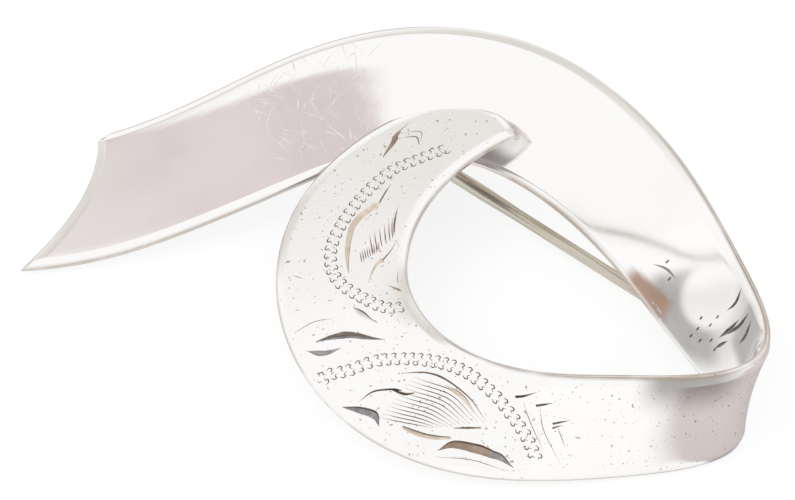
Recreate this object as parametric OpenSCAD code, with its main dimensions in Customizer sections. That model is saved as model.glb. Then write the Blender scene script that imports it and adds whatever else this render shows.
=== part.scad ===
// Ribbon brooch: one strip of sheet silver whose tail sweeps into an arch, twists on
// edge at the right and curls back over the arch as a tapering crescent.  A hinged pin
// with a revolving safety catch crosses behind the loop.
// Millimetres, +X along the brooch, +Z up from the surface that it lies on.

/* [Ribbon] */
// Length of the drawn curve over the tail and the right-hand turn
brooch_length = 49; // [42:0.5:60]
// Height that the curve rises above the surface
brooch_height = 11; // [9:0.25:14]
// Width of the strip where it doesn't taper
ribbon_w = 9.4; // [8:0.1:11.5]
// Thickness of the sheet
sheet_t = 0.75; // [0.5:0.05:1]

/* [Pin] */
// Height of the pin's axis above the surface
pin_level = 1.45; // [1.2:0.05:1.8]
// Diameter of the wire at the hinge
pin_d = 1; // [0.8:0.05:1.2]
// Diameter of the wire between the hinge and the catch
shank_d = 0.84; // [0.6:0.02:0.9]
// Diameter of the wire inside the catch
catch_wire_d = 0.7; // [0.5:0.02:0.76]
// Length of the thick wire beside the hinge
thick_run = 6; // [3:0.5:9]
// Length of the point beyond the catch
point_run = 1.6; // [1:0.1:3]

/* [Hinge] */
// Diameter of the knuckles
knuckle_d = 1.9; // [1.6:0.1:2.3]
// Length of the pin's own knuckle
knuckle_w = 1.2; // [0.9:0.1:1.8]
// Thickness of each ear
ear_t = 0.7; // [0.5:0.05:1]
// Diameter of the rivet
rivet_d = 0.7; // [0.5:0.05:0.9]
// Diameter of the disc that carries the ears
hinge_disc_d = 3.8; // [3:0.1:4.6]

/* [Catch] */
// Length of the slotted barrel
barrel_w = 2.2; // [1.6:0.1:3]
// Outer diameter of the slotted barrel
barrel_d = 2.3; // [2.1:0.05:2.8]
// Wall of the slotted barrel
barrel_wall = 0.3; // [0.2:0.05:0.4]
// Width of the slots that the pin drops through
slot_w = 1.05; // [0.9:0.05:1.2]
// Diameter of the disc that carries the barrel
catch_disc_d = 2.4; // [1.8:0.1:2.8]
// Length of each of the rotor's collars
collar_w = 0.45; // [0.3:0.05:0.7]
// Reach of the thumb tab beyond the collar
tab_reach = 0.8; // [0.5:0.1:1.2]

/* [Hidden] */
$fn = 48;

sterling = "silver";
steel = "gainsboro";

// Running clearances, and the film of solder under each disc.
rivet_seat = 0.01;
rivet_play = 0.05;
side_play = 0.06;
rotor_play = 0.05;
solder_gap = 0.15;
disc_t = 0.4;
head_t = 0.25;
head_d = rivet_d + 0.5;

// Stations of the strip, from the tail to the crescent's point: x, y, z, then the tilt of
// the strip about its path in degrees, its share of the full width, and its bow in mm.
// They are drawn for a brooch 49 long and 11 high.
drawn_length = 49;
drawn_height = 11;
stations = [
    [-30.8,   5.2, 1.9,   8, 1.06, 0.0],
    [-25.8,   5.7, 1.3,   8, 1.08, 0.0],
    [-20.0,   6.2, 1.6,   7, 1.08, 0.0],
    [-14.5,   7.6, 2.8,   6, 1.04, 0.0],
    [ -9.0,   9.8, 4.0,   9, 1.02, 0.2],
    [ -3.5,  12.2, 5.2,  17, 1.02, 0.3],
    [  2.5,  12.8, 6.2,  24, 1.02, 0.3],
    [  8.5,  11.0, 6.7,  32, 1.00, 0.3],
    [ 13.2,   7.0, 7.0,  42, 0.96, 0.3],
    [ 17.0,   1.7, 7.2,  53, 0.96, 0.3],
    [ 19.6,  -3.6, 7.1,  63, 0.98, 0.3],
    [ 22.0,  -8.0, 6.3,  73, 1.00, 0.2],
    [ 24.8, -13.4, 5.4,  85, 1.04, 0.4],
    [ 20.8, -15.2, 4.9,  90, 1.00, 0.3],
    [ 15.0, -15.1, 4.5, 102, 0.91, 0.0],
    [  9.5, -15.1, 4.2, 116, 0.82, 0.0],
    [  4.0, -13.7, 4.1, 138, 0.85, 0.0],
    [ -0.6, -10.2, 4.3, 158, 0.95, 0.0],
    [ -3.0,  -5.0, 5.0, 170, 0.96, 0.0],
    [ -2.5,   0.2, 6.0, 176, 0.94, 0.0],
    [  0.4,   4.5, 6.9, 180, 0.80, 0.0],
    [  4.0,   7.3, 7.4, 182, 0.66, 0.0],
    [  8.2,   9.2, 7.5, 182, 0.47, 0.0],
    [ 13.0,  10.8, 7.4, 182, 0.32, 0.0]];

// The tail is cut on a slant with one small round corner, and the crescent tapers round.
tail_start = 1.1;
tail_slant = 1.12;
tail_curve = 1.7;
corner_from = 0.88;
corner_depth = 0.2;
nose_end = 22;
nose_depth = 1.5;
nose_curve = 4;
end_blend = 2;
rings_per_station = 5;
spans_across = 4;

// Where the hinge and the catch are soldered: station along the strip, and place across it
// from -1 at the lower edge to +1 at the upper edge.
hinge_at = [5.72, -0.5];
catch_at = [10.6, -0.66];
catch_standoff = 1.8;

plan_scale = brooch_length / drawn_length;
rise_scale = brooch_height / drawn_height;
path = [for (s = stations)
    [s[0] * plan_scale, s[1] * plan_scale, s[2] * rise_scale, s[3], s[4] * ribbon_w, s[5]]];

// ---- vectors ----
function unit(v) = v / norm(v);
function point3(v) = [v[0], v[1], v[2]];

// ---- the strip as a cubic B-spline through its stations ----
function span_of(u) = min(max(floor(u), 1), len(path) - 3);
function sum4(b, i) = b[0] * path[i - 1] + b[1] * path[i] + b[2] * path[i + 1] + b[3] * path[i + 2];
function strip_at(u) = let (i = span_of(u), t = u - i)
    sum4([pow(1 - t, 3), 3 * pow(t, 3) - 6 * t * t + 4,
          3 * t * (1 + t - t * t) + 1, pow(t, 3)] / 6, i);
function strip_slope(u) = let (i = span_of(u), t = u - i)
    point3(sum4([-(1 - t) * (1 - t), 3 * t * t - 4 * t, 1 + 2 * t - 3 * t * t, t * t] / 2, i));
function across_dir(tilt, slope) = let (ahead = unit([slope[0], slope[1], 0]))
    [-ahead[1] * cos(tilt), ahead[0] * cos(tilt), sin(tilt)];

// A point of the strip: station u, place across q and height h above its middle surface.
function on_strip(u, q, h) =
    let (s = strip_at(u), slope = strip_slope(u), side = across_dir(s[3], slope),
         face = unit(cross(slope, side)))
    point3(s) + side * q * s[4] / 2 + face * (s[5] * (1 - q * q) + h);
function face_normal(u, q) = let (e = 0.01)
    unit(cross(on_strip(u + e, q, 0) - on_strip(u - e, q, 0),
               on_strip(u, q + e, 0) - on_strip(u, q - e, 0)));

// ---- the ends, as the station where each line along the strip starts and stops ----
function tail_cut(q) = tail_start + tail_slant * (1 - pow((1 - q) / 2, tail_curve))
    + corner_depth * pow(max(0, (q - corner_from) / (1 - corner_from)), 2);
function nose_cut(q) = nose_end - nose_depth * pow((1 - q) / 2, nose_curve);
tail_blend = tail_start + tail_slant + end_blend;
nose_blend = nose_end - nose_depth - end_blend;
function warp(s, q) =
    s < tail_blend ? tail_cut(q) + (tail_blend - tail_cut(q)) * (s - tail_start) / (tail_blend - tail_start)
    : s > nose_blend ? nose_blend + (nose_cut(q) - nose_blend) * (s - nose_blend) / (nose_end - nose_blend)
    : s;

// ---- the skin: rings of points round the strip's section, with rounded edges ----
edge_r = sheet_t / 2;
function section(s) = let (inset = edge_r / (strip_at(s)[4] / 2), bevel = inset * (1 - cos(45)))
    concat([[-1 + bevel, -edge_r * sin(45)], [-1 + bevel, edge_r * sin(45)]],
           [for (k = [0 : spans_across]) [(2 * k / spans_across - 1) * (1 - inset), edge_r]],
           [[1 - bevel, edge_r * sin(45)], [1 - bevel, -edge_r * sin(45)]],
           [for (k = [spans_across : -1 : 0]) [(2 * k / spans_across - 1) * (1 - inset), -edge_r]]);
ring_n = round((nose_end - tail_start) * rings_per_station);
section_n = 2 * spans_across + 6;
rings = [for (k = [0 : ring_n]) let (s = tail_start + (nose_end - tail_start) * k / ring_n)
    [for (c = section(s)) on_strip(warp(s, c[0]), c[0], c[1])]];
skin = [for (ring = rings) each ring];
wall_faces = [for (k = [0 : ring_n - 1], j = [0 : section_n - 1])
    let (a = k * section_n + j, b = k * section_n + (j + 1) % section_n)
    each [[a, b, b + section_n], [a, b + section_n, a + section_n]]];
function cap_faces(base, turn) = [for (j = [0 : section_n / 2 - 2])
    let (a = base + 1 + j, b = base + 2 + j,
         c = base + (section_n - j - 1) % section_n, d = base + (section_n - j) % section_n)
    each turn ? [[a, c, b], [a, d, c]] : [[a, b, c], [a, c, d]]];

// The origin is under the middle of the strip's own box.
xs = [for (p = skin) p[0]];
ys = [for (p = skin) p[1]];
zs = [for (p = skin) p[2]];
origin = [(min(xs) + max(xs)) / 2, (min(ys) + max(ys)) / 2, min(zs)];

// ---- the pin's own frame: X along the wire, Y along the rivet, Z towards the strip ----
axis_z = origin[2] + pin_level;
hinge_foot = on_strip(hinge_at[0], hinge_at[1], -edge_r);
hinge_normal = face_normal(hinge_at[0], hinge_at[1]);
hinge_drop = (hinge_foot[2] - axis_z) / hinge_normal[2];
hinge_point = hinge_foot - hinge_normal * hinge_drop;
catch_foot = on_strip(catch_at[0], catch_at[1], -edge_r);
catch_normal = face_normal(catch_at[0], catch_at[1]);
catch_side = catch_foot - catch_normal * catch_standoff;
catch_point = [catch_side[0], catch_side[1], axis_z];
wire_dir = unit(catch_point - hinge_point);
rivet_dir = unit(cross(hinge_normal, wire_dir));
lift_dir = cross(wire_dir, rivet_dir);
catch_x = norm(catch_point - hinge_point);

module place(at, x, y, z)
    multmatrix([[x[0], y[0], z[0], at[0] - origin[0]],
                [x[1], y[1], z[1], at[1] - origin[1]],
                [x[2], y[2], z[2], at[2] - origin[2]],
                [0, 0, 0, 1]]) children();
module pin_frame() place(hinge_point, wire_dir, rivet_dir, lift_dir) children();
module catch_frame() place(catch_point, wire_dir, rivet_dir, lift_dir) children();
module facing(at, normal) {
    x = unit(cross(wire_dir, normal));
    place(at, x, cross(normal, x), normal) children();
}
module along_x(d, from, to) translate([from, 0, 0]) rotate([0, 90, 0]) cylinder(d = d, h = to - from);
module cone_x(d1, d2, from, run) translate([from, 0, 0]) rotate([0, 90, 0])
    cylinder(d1 = d1, d2 = d2, h = run);
module along_y(d, from, to) translate([0, to, 0]) rotate([90, 0, 0]) cylinder(d = d, h = to - from);

module ribbon() color(sterling)
    translate(-origin)
        polyhedron(points = skin, convexity = 8,
                   faces = concat(wall_faces, cap_faces(0, true), cap_faces(ring_n * section_n, false)));

// ---- hinge ----
hinge_seat = hinge_drop - solder_gap - disc_t;
ear_from = knuckle_w / 2 + side_play;
ear_to = ear_from + ear_t;
ear_root = knuckle_d * 0.7;
seat_tilt = hinge_normal * wire_dir;
function seat_height(x) = (hinge_seat - x * seat_tilt) / (hinge_normal * lift_dir);

module hinge_disc() color(sterling)
    facing(hinge_foot - hinge_normal * (solder_gap + disc_t), hinge_normal)
        cylinder(d = hinge_disc_d, h = disc_t);

module ear(from, to) pin_frame() difference() {
    translate([0, to, 0]) rotate([90, 0, 0]) linear_extrude(to - from) {
        circle(d = knuckle_d);
        polygon([[-knuckle_d / 2, 0], [knuckle_d / 2, 0],
                 [ear_root, seat_height(ear_root)], [-ear_root, seat_height(-ear_root)]]);
    }
    along_y(rivet_d + 2 * rivet_seat, from - 1, to + 1);
}
module hinge_ear_upper() color(sterling) ear(ear_from, ear_to);
module hinge_ear_lower() color(sterling) ear(-ear_to, -ear_from);

module hinge_rivet() color(steel) pin_frame() {
    along_y(rivet_d, -ear_to, ear_to);
    along_y(head_d, ear_to, ear_to + head_t);
    along_y(head_d, -ear_to - head_t, -ear_to);
}

// ---- pin ----
neck_d = pin_d + 0.15;
neck_end = knuckle_d / 2 + 0.6;
thick_end = neck_end + thick_run;
taper_run = 3;
step_run = 1;
rotor_half = barrel_w / 2 + side_play;
point_from = catch_x + rotor_half + collar_w;
step_from = catch_x - rotor_half - collar_w - step_run - side_play;
point_d = 0.16;

module pin_knuckle() color(steel) pin_frame() difference() {
    union() {
        along_y(knuckle_d, -knuckle_w / 2, knuckle_w / 2);
        along_x(neck_d, 0, neck_end);
    }
    along_y(rivet_d + 2 * rivet_play, -knuckle_w, knuckle_w);
}

module pin_wire() color(steel) pin_frame() {
    along_x(pin_d, neck_end, thick_end);
    cone_x(pin_d, shank_d, thick_end, taper_run);
    along_x(shank_d, thick_end + taper_run, step_from);
    cone_x(shank_d, catch_wire_d, step_from, step_run);
    along_x(catch_wire_d, step_from + step_run, point_from);
    cone_x(catch_wire_d, point_d, point_from, point_run);
}

// ---- catch ----
rotor_d = barrel_d - 2 * barrel_wall - 2 * rotor_play;
rotor_bore_d = slot_w;
collar_d = barrel_d - 0.1;
post_d = 1;
tab_t = 0.5;
tab_tip_angle = -20;

module slot(width, reach) translate([-reach, -width / 2, -barrel_d]) cube([2 * reach, width, barrel_d]);

module catch_disc() color(sterling)
    facing(catch_foot - catch_normal * (solder_gap + disc_t), catch_normal)
        cylinder(d = catch_disc_d, h = disc_t);

module catch_barrel() color(sterling) difference() {
    union() {
        catch_frame() along_x(barrel_d, -barrel_w / 2, barrel_w / 2);
        hull() {
            facing(catch_foot - catch_normal * (solder_gap + disc_t + 0.2), catch_normal)
                cylinder(d = post_d, h = 0.2, $fn = 24);
            catch_frame() translate([0, 0, barrel_d / 4])
                along_x(barrel_d / 2.5, -barrel_w / 2.5, barrel_w / 2.5, $fn = 24);
        }
    }
    catch_frame() {
        along_x(barrel_d - 2 * barrel_wall, -barrel_w, barrel_w);
        slot(slot_w, barrel_w);
    }
}

module catch_rotor() color(steel) catch_frame() difference() {
    union() {
        along_x(rotor_d, -rotor_half, rotor_half);
        along_x(collar_d, -rotor_half - collar_w, -rotor_half);
        along_x(collar_d, rotor_half, rotor_half + collar_w);
    }
    along_x(rotor_bore_d, -barrel_w, barrel_w);
    slot(slot_w, barrel_w);
}

module catch_tab() color(steel) catch_frame() rotate([tab_tip_angle, 0, 0]) difference() {
    translate([rotor_half, 0, -tab_t / 2])
        cube([collar_w, collar_d / 2 + tab_reach, tab_t]);
    along_x(collar_d, 0, barrel_w);
}

ribbon();
hinge_disc();
hinge_ear_upper();
hinge_ear_lower();
hinge_rivet();
pin_knuckle();
pin_wire();
catch_disc();
catch_barrel();
catch_rotor();
catch_tab();
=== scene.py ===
"""Ribbon brooch in sterling silver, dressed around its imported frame.

One strip of sheet silver runs from a slant-cut tail over an arch, turns on edge at the
right and curls back over the arch as a tapering, engraved crescent.  A hinged pin with
a revolving safety catch crosses behind the loop.
"""

from __future__ import annotations

import logging
import math
from dataclasses import dataclass
from enum import Enum
from typing import Iterable, Sequence

import bmesh
import bpy
import numpy as np
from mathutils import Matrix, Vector

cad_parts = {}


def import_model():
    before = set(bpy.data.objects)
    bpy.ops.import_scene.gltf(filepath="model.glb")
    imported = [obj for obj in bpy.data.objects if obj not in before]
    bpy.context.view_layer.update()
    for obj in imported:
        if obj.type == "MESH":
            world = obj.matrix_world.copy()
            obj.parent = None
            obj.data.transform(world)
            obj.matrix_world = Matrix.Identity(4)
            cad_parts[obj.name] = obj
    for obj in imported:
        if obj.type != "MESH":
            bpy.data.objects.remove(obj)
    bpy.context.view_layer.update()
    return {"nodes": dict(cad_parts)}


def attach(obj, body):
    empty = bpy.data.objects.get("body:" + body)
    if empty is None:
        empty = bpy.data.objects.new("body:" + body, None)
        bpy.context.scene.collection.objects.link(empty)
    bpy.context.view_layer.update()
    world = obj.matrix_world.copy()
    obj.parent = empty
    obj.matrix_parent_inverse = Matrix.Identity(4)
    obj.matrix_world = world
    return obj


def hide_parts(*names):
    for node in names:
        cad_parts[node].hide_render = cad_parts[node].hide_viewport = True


LOG = logging.getLogger("brooch")
MM = 0.001
Array = np.ndarray
Colour = tuple[float, float, float]


# ---------------------------------------------------------------- shader nodes


@dataclass
class Val:
    """A value in a node tree, on which Python's operators add Math nodes."""

    kit: "NodeKit"
    socket: bpy.types.NodeSocket

    def _maths(self, operation: str, first: object, second: object) -> "Val":
        """Add one Math node and return its result."""
        return self.kit.node("ShaderNodeMath", {"operation": operation}, {0: first, 1: second})

    def __add__(self, other: object) -> "Val":
        """self + other."""
        return self._maths("ADD", self, other)

    __radd__ = __add__

    def __mul__(self, other: object) -> "Val":
        """self * other."""
        return self._maths("MULTIPLY", self, other)

    __rmul__ = __mul__

    def __sub__(self, other: object) -> "Val":
        """self - other."""
        return self._maths("SUBTRACT", self, other)

    def __rsub__(self, other: object) -> "Val":
        """other - self."""
        return self._maths("SUBTRACT", other, self)

    def size(self) -> "Val":
        """The absolute value."""
        return self._maths("ABSOLUTE", self, 0.0)

    def ramp(self, low: float, high: float) -> "Val":
        """A smooth step that is 0 at low and 1 at high.

        Args:
            low: the value at which the step starts; it may be above high.
            high: the value at which the step is complete.

        Returns:
            The step, from 0 to 1.
        """
        step = self.kit.node(
            "ShaderNodeMapRange",
            {"interpolation_type": "SMOOTHSTEP"},
            {"Value": self, "From Min": low, "From Max": high, "To Min": 0.0, "To Max": 1.0},
        )
        return step


class NodeKit:
    """Adds nodes to one tree and links them."""

    def __init__(self, tree: bpy.types.NodeTree) -> None:
        """Start on an empty tree."""
        self.tree = tree
        tree.nodes.clear()

    def node(
        self,
        kind: str,
        settings: dict[str, object] | None = None,
        inputs: dict[object, object] | None = None,
        output: object = 0,
    ) -> Val:
        """Add a node.

        Args:
            kind: the node's type.
            settings: properties, set before the sockets.
            inputs: values or links by socket name or number.
            output: the name or number of the socket to return.

        Returns:
            The wrapped output socket.
        """
        made = self.tree.nodes.new(kind)
        for name, value in (settings or {}).items():
            setattr(made, name, value)
        for name, value in (inputs or {}).items():
            if isinstance(value, Val):
                self.tree.links.new(value.socket, made.inputs[name])
            else:
                made.inputs[name].default_value = value
        sockets = [s for s in made.outputs if s.enabled]
        if isinstance(output, str):
            return Val(self, made.outputs[output])
        return Val(self, sockets[output] if sockets else None) if sockets else made

    def mix(self, factor: object, first: object, second: object) -> Val:
        """Mix two colours by a factor.

        Args:
            factor: 0 gives first and 1 gives second.
            first: a colour or a link to one.
            second: a colour or a link to one.

        Returns:
            The mixed colour.
        """
        made = self.tree.nodes.new("ShaderNodeMix")
        made.data_type = "RGBA"
        for socket, value in ((made.inputs[0], factor), (made.inputs[6], first), (made.inputs[7], second)):
            if isinstance(value, Val):
                self.tree.links.new(value.socket, socket)
            elif socket == made.inputs[0]:
                socket.default_value = value
            else:
                socket.default_value = (*value, 1.0)
        return Val(self, made.outputs[2])

    def noise(self, where: Val, scale: float, detail: float = 2.0, rough: float = 0.5) -> Val:
        """A noise value from 0 to 1 at a place, with features 1/scale metres across."""
        inputs = {"Vector": where, "Scale": scale, "Detail": detail, "Roughness": rough}
        return self.node("ShaderNodeTexNoise", {}, inputs)

    def stretched(self, where: Val, turn: Sequence[float], scale: Sequence[float]) -> Val:
        """A place turned and scaled by a Mapping node."""
        return self.node("ShaderNodeMapping", {}, {"Vector": where, "Rotation": turn, "Scale": scale})


def shader(name: str) -> tuple[bpy.types.Material, NodeKit]:
    """Make an empty material.

    Args:
        name: the finish's name.
    """
    material = bpy.data.materials.new(name)
    material.use_nodes = True
    return material, NodeKit(material.node_tree)


def close_metal(
    kit: NodeKit, colour: object, roughness: object, bump: Val | None = None, depth: float = 0.0
) -> None:
    """End a metal's tree with a Principled shader.

    Args:
        kit: the tree.
        colour: base colour, as a value or a link.
        roughness: roughness, as a value or a link.
        bump: a height for the Bump node, or None.
        depth: the height in metres that a bump of 1 stands for.
    """
    inputs: dict[object, object] = {"Metallic": 1.0, "Roughness": roughness}
    inputs["Base Color"] = colour if isinstance(colour, Val) else (*colour, 1.0)
    if bump is not None:
        relief = {"Strength": 1.0, "Distance": depth, "Height": bump}
        inputs["Normal"] = kit.node("ShaderNodeBump", {}, relief)
    surface = kit.node("ShaderNodeBsdfPrincipled", {}, inputs)
    kit.node("ShaderNodeOutputMaterial", {}, {"Surface": surface})


@dataclass(frozen=True)
class SilverFinish:
    """Worn, polished sheet silver: a satin crescent, a scuffed patch, a brown patch and tarnish on its rim,
    with a painted reflection tinting the tail and painted shade in the right turn, under the crescent's tip
    and below the front rim.
    """

    name: str = "sterling_sheet"
    colour: Colour = (0.965, 0.955, 0.945)
    shade: Colour = (0.88, 0.865, 0.845)
    filmed: Colour = (0.72, 0.625, 0.63)
    scuffed: Colour = (0.66, 0.575, 0.59)
    tarnish: Colour = (0.42, 0.33, 0.25)
    brown_patch_colour: Colour = (0.43, 0.28, 0.2)
    painted_shade_colour: Colour = (0.26, 0.24, 0.235)
    pinhole: Colour = (0.3, 0.26, 0.23)
    mirror: float = 0.1
    satin: float = 0.32

    def make(self) -> bpy.types.Material:
        """Build the material.

        Returns:
            The finished material.
        """
        material, kit = shader(self.name)
        place = kit.node("ShaderNodeTexCoord", {}, {}, "Object")
        masks = {
            key: kit.node("ShaderNodeAttribute", {"attribute_name": key}, {}, "Fac")
            for key in ("satin", "worn", "film", "brown_patch", "painted_shade", "rim", "speckled")
        }
        cloud = kit.noise(place, 180.0, 4.0, 0.55)
        fine = kit.noise(kit.stretched(place, (0.3, 0.2, 0.9), (1.0, 9.0, 3.0)), 900.0, 3.0, 0.6)
        cross = kit.noise(kit.stretched(place, (0.1, 0.5, -0.7), (1.0, 14.0, 4.0)), 700.0, 3.0, 0.6)
        grain = kit.noise(place, 5200.0, 3.0, 0.6)
        specks = kit.noise(place, 1500.0, 2.0, 0.5)
        hair = fine.ramp(0.62, 0.7) * 0.5 + cross.ramp(0.64, 0.72) * 0.5
        satin, worn = masks["satin"], masks["worn"]
        roughness = satin * (self.satin - self.mirror) + self.mirror + cloud.ramp(0.35, 0.75) * 0.04
        roughness = roughness + hair * (worn * 0.15 + 0.06) + worn * 0.06
        colour = kit.mix(cloud.ramp(0.5, 0.85) * 0.4, self.colour, self.shade)
        # painted reflection: a pinkish tint over the tail's upper face
        colour = kit.mix(masks["film"] * (cloud.ramp(0.2, 0.8) * 0.2 + 0.85), colour, self.filmed)
        colour = kit.mix(worn * (specks.ramp(0.3, 0.7) * 0.3 + 0.5), colour, self.scuffed)
        colour = kit.mix(satin * grain.ramp(0.5, 0.75) * 0.35, colour, self.shade)
        # painted shade and painted dark reflection: grey in the right turn, under the crescent's tip and
        # below the front rim
        colour = kit.mix(masks["painted_shade"] * (cloud * 0.5 + 0.65), colour, self.painted_shade_colour)
        pinholes = kit.noise(place, 4200.0, 1.0, 0.4).ramp(0.7, 0.74)
        colour = kit.mix(pinholes * masks["speckled"] * 0.75, colour, self.pinhole)
        # a speckled brown patch inside the right turn
        brown_patch = masks["brown_patch"] * specks.ramp(0.66, 0.6) * 0.9
        colour = kit.mix(brown_patch, colour, self.brown_patch_colour)
        colour = kit.mix(masks["rim"] * cloud.ramp(0.2, 0.55) * 0.9, colour, self.tarnish)
        height = hair * (worn * -0.8 - 0.3) + cloud * 0.2 + satin * grain * 0.5
        close_metal(kit, colour, roughness, height, 4e-6)
        return material


@dataclass(frozen=True)
class CutFinish:
    """The walls of an engraved cut: bare silver, or cuts that have kept their tarnish."""

    name: str
    colour: Colour
    dark: Colour
    roughness: float

    def make(self) -> bpy.types.Material:
        """Build the material.

        Returns:
            The finished material.
        """
        material, kit = shader(self.name)
        place = kit.node("ShaderNodeTexCoord", {}, {}, "Object")
        patch = kit.noise(place, 1400.0, 3.0, 0.6)
        colour = kit.mix(patch.ramp(0.35, 0.65), self.colour, self.dark)
        close_metal(kit, colour, patch * 0.15 + self.roughness, patch, 3e-6)
        return material


@dataclass(frozen=True)
class WireFinish:
    """Drawn or turned metal, with fine marks round its axis and a dulling film in long streaks along it,
    which partly stand in for reflections: partly painted reflection.
    """

    name: str
    colour: Colour
    film: Colour
    roughness: float
    axis_turn: float = 0.705

    def make(self) -> bpy.types.Material:
        """Build the material.

        Returns:
            The finished material.
        """
        material, kit = shader(self.name)
        place = kit.node("ShaderNodeTexCoord", {}, {}, "Object")
        turned = kit.stretched(place, (0.0, 0.0, self.axis_turn), (1.0, 1.0, 1.0))
        along = kit.stretched(turned, (0.0, 0.0, 0.0), (0.03, 1.0, 1.0))
        # dulling film and painted reflection: long brown streaks along the wire
        film = kit.noise(along, 2200.0, 2.0, 0.5).ramp(0.4, 0.7)
        marks = kit.noise(along, 9000.0, 2.0, 0.5)
        colour = kit.mix(film, self.colour, self.film)
        close_metal(kit, colour, marks * 0.12 + film * 0.1 + self.roughness, marks, 4e-6)
        return material


# ---------------------------------------------------------------- the strip


@dataclass(frozen=True)
class Strip:
    """The strip's middle surface: a cubic B-spline through stations drawn in millimetres.

    Each station is x, y, z, then the tilt of the strip about its path in degrees, its share
    of the full width, and its bow.  Along the strip u counts stations, and across it q runs
    from -1 at the lower edge to +1 at the upper edge.
    """

    width: float = 9.4
    sheet: float = 0.75
    tail_start: float = 1.1
    tail_slant: float = 1.12
    tail_curve: float = 1.7
    corner_from: float = 0.88
    corner_depth: float = 0.2
    nose_end: float = 22.0
    nose_depth: float = 1.5
    nose_curve: float = 4.0
    end_blend: float = 2.0
    drawn_zero: tuple[float, float, float] = (0.010, 0.026, 0.325)
    stations: tuple[tuple[float, ...], ...] = (
        (-30.8, 5.2, 1.9, 8, 1.06, 0.0),
        (-25.8, 5.7, 1.3, 8, 1.08, 0.0),
        (-20.0, 6.2, 1.6, 7, 1.08, 0.0),
        (-14.5, 7.6, 2.8, 6, 1.04, 0.0),
        (-9.0, 9.8, 4.0, 9, 1.02, 0.2),
        (-3.5, 12.2, 5.2, 17, 1.02, 0.3),
        (2.5, 12.8, 6.2, 24, 1.02, 0.3),
        (8.5, 11.0, 6.7, 32, 1.00, 0.3),
        (13.2, 7.0, 7.0, 42, 0.96, 0.3),
        (17.0, 1.7, 7.2, 53, 0.96, 0.3),
        (19.6, -3.6, 7.1, 63, 0.98, 0.3),
        (22.0, -8.0, 6.3, 73, 1.00, 0.2),
        (24.8, -13.4, 5.4, 85, 1.04, 0.4),
        (20.8, -15.2, 4.9, 90, 1.00, 0.3),
        (15.0, -15.1, 4.5, 102, 0.91, 0.0),
        (9.5, -15.1, 4.2, 116, 0.82, 0.0),
        (4.0, -13.7, 4.1, 138, 0.85, 0.0),
        (-0.6, -10.2, 4.3, 158, 0.95, 0.0),
        (-3.0, -5.0, 5.0, 170, 0.96, 0.0),
        (-2.5, 0.2, 6.0, 176, 0.94, 0.0),
        (0.4, 4.5, 6.9, 180, 0.80, 0.0),
        (4.0, 7.3, 7.4, 182, 0.66, 0.0),
        (8.2, 9.2, 7.5, 182, 0.47, 0.0),
        (13.0, 10.8, 7.4, 182, 0.32, 0.0),
    )

    def at(self, u: Array, slope: bool = False) -> Array:
        """The station values, or their slope, at places along the strip.

        Args:
            u: stations, of any shape.
            slope: True for the derivative.

        Returns:
            An array with one more axis, of length 6.
        """
        drawn = np.array(self.stations)
        drawn[:, 4] *= self.width
        span = np.clip(np.floor(u), 1, len(drawn) - 3).astype(int)
        t = (u - span)[..., None]
        if slope:
            weights = [-((1 - t) ** 2), 3 * t**2 - 4 * t, 1 + 2 * t - 3 * t**2, t**2]
            share = 2.0
        else:
            weights = [(1 - t) ** 3, 3 * t**3 - 6 * t**2 + 4, 3 * t * (1 + t - t**2) + 1, t**3]
            share = 6.0
        return sum(w * drawn[span + k - 1] for k, w in enumerate(weights)) / share

    def middle(self, u: Array, q: Array) -> Array:
        """Points of the middle surface, in millimetres, in the frame's own axes."""
        here = self.at(u)
        ahead = self.at(u, slope=True)[..., :3]
        flat = ahead[..., :2] / np.linalg.norm(ahead[..., :2], axis=-1, keepdims=True)
        tilt = np.radians(here[..., 3])
        side = np.stack([-flat[..., 1] * np.cos(tilt), flat[..., 0] * np.cos(tilt), np.sin(tilt)], -1)
        face = np.cross(ahead, side)
        face /= np.linalg.norm(face, axis=-1, keepdims=True)
        reach = (q * here[..., 4] / 2)[..., None]
        bow = (here[..., 5] * (1 - q**2))[..., None]
        return here[..., :3] + side * reach + face * bow - np.array(self.drawn_zero)

    def normal(self, u: Array, q: Array) -> Array:
        """Unit normals of the middle surface, on the side that is up at the tail."""
        step = 0.004
        along = self.middle(u + step, q) - self.middle(u - step, q)
        across = self.middle(u, q + step) - self.middle(u, q - step)
        up = np.cross(along, across)
        return up / np.linalg.norm(up, axis=-1, keepdims=True)

    def point(self, u: Array, q: Array, height: Array | float) -> Array:
        """Points at a height above the middle surface, in millimetres."""
        lift = np.broadcast_to(np.asarray(height, float), np.shape(u))[..., None]
        return self.middle(u, q) + self.normal(u, q) * lift

    def tail_cut(self, q: Array) -> Array:
        """The station at which the slanted tail starts."""
        slant = self.tail_slant * (1 - ((1 - q) / 2) ** self.tail_curve)
        corner = np.maximum(0, (q - self.corner_from) / (1 - self.corner_from))
        return self.tail_start + slant + self.corner_depth * corner**2

    def nose_cut(self, q: Array) -> Array:
        """The station at which the crescent's rounded point ends."""
        return self.nose_end - self.nose_depth * ((1 - q) / 2) ** self.nose_curve


@dataclass(frozen=True)
class Grid:
    """How the ribbon is meshed: its edge profile, and its spans across and along.

    The profile runs in from the edge: a distance in millimetres, and the share of the full
    thickness there.  The first two points are the upright wall and the rest a filed bevel.
    """

    profile: tuple[tuple[float, float], ...] = (
        (0.0, 0.0),
        (0.0, 0.4),
        (0.02, 0.48),
        (0.2, 0.64),
        (0.4, 0.81),
        (0.58, 0.96),
        (0.64, 0.99),
        (0.72, 1.0),
    )
    edge_inset: float = 0.12
    tail_stretch: float = 1.6
    spans_across: int = 24
    spans_along: int = 340

    def insets(self) -> Array:
        """Distances in from an edge."""
        return np.array([point[0] for point in self.profile])

    def fullness(self) -> Array:
        """The share of the full thickness at each point of the profile."""
        return np.array([point[1] for point in self.profile])


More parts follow.
